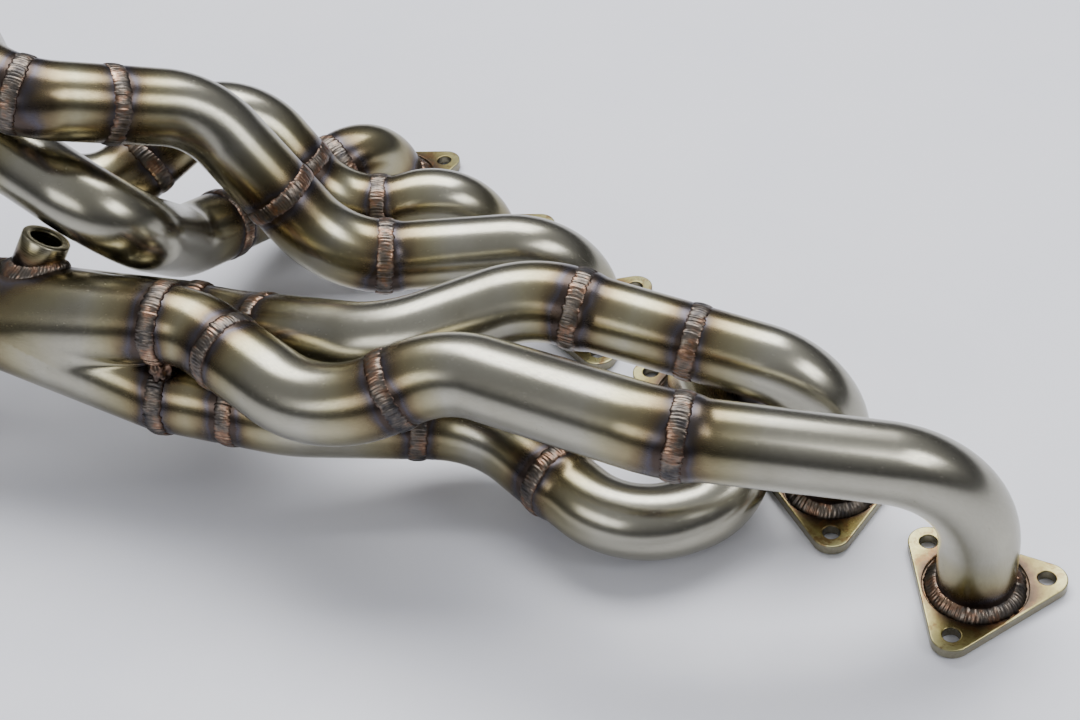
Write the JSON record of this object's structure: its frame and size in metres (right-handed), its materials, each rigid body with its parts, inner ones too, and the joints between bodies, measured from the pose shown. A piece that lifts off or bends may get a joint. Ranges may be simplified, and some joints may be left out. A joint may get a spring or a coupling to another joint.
{
  "type": "racing exhaust header pair",
  "caption": "Stepped, welded stainless exhaust headers for an in-line engine: bent primary tubes run from port flanges to merge collectors with sensor bosses, outlet pipes and clamp flanges",
  "frame": {"origin": "Centre of port 1 on the face that meets the cylinder head", "axes": "+X along the row of ports from port 1 to port 6, +Y out of the engine bay side towards the collectors, +Z away from the head along the start of each tube"},
  "size_m": [1.0035, 0.4982, 0.2555],
  "materials": {
    "flange_steel": "Laser-cut stainless plate, straw and olive heat tint",
    "tube_steel": "Satin stainless tube with straw, purple and blue heat tint beside each weld",
    "weld_bead": "Rippled TIG bead, dark grey-blue with copper edges",
    "collector_steel": "Satin stainless, formed and welded",
    "turned_steel": "Turned stainless with fine tool marks"
  },
  "bodies": {
    "root": {"flange_1": "flange_steel", "flange_2": "flange_steel", "flange_3": "flange_steel", "flange_4": "flange_steel", "flange_5": "flange_steel", "flange_6": "flange_steel", "a1_leg": "tube_steel", "a1_mid": "tube_steel", "a1_bend": "tube_steel", "a1_stub": "tube_steel", "a2_leg": "tube_steel", "a2_link": "tube_steel", "a2_bend": "tube_steel", "a2_stub": "tube_steel", "a3_leg": "tube_steel", "a3_ubend": "tube_steel", "a3_bend": "tube_steel", "a3_run": "tube_steel", "a3_stub": "tube_steel", "b1_leg": "tube_steel", "b1_mid": "tube_steel", "b1_bend": "tube_steel", "b1_run": "tube_steel", "b1_stub": "tube_steel", "b2_leg": "tube_steel", "b2_mid": "tube_steel", "b2_bend": "tube_steel", "b2_run": "tube_steel", "b2_stub": "tube_steel", "b3_leg": "tube_steel", "b3_link": "tube_steel", "b3_run": "tube_steel", "b3_stub": "tube_steel", "welds_a1": "weld_bead", "welds_a2": "weld_bead", "welds_a3": "weld_bead", "welds_b1": "weld_bead", "welds_b2": "weld_bead", "welds_b3": "weld_bead", "collector_a": "collector_steel", "collector_b": "collector_steel", "spike_a": "collector_steel", "spike_b": "collector_steel", "bung_a": "turned_steel", "bung_b": "turned_steel", "welds_collector_a": "weld_bead", "welds_collector_b": "weld_bead", "outlet_pipe_a": "collector_steel", "outlet_pipe_b": "collector_steel", "outlet_flange_a": "turned_steel", "outlet_flange_b": "turned_steel"}
  },
  "joints": []
}
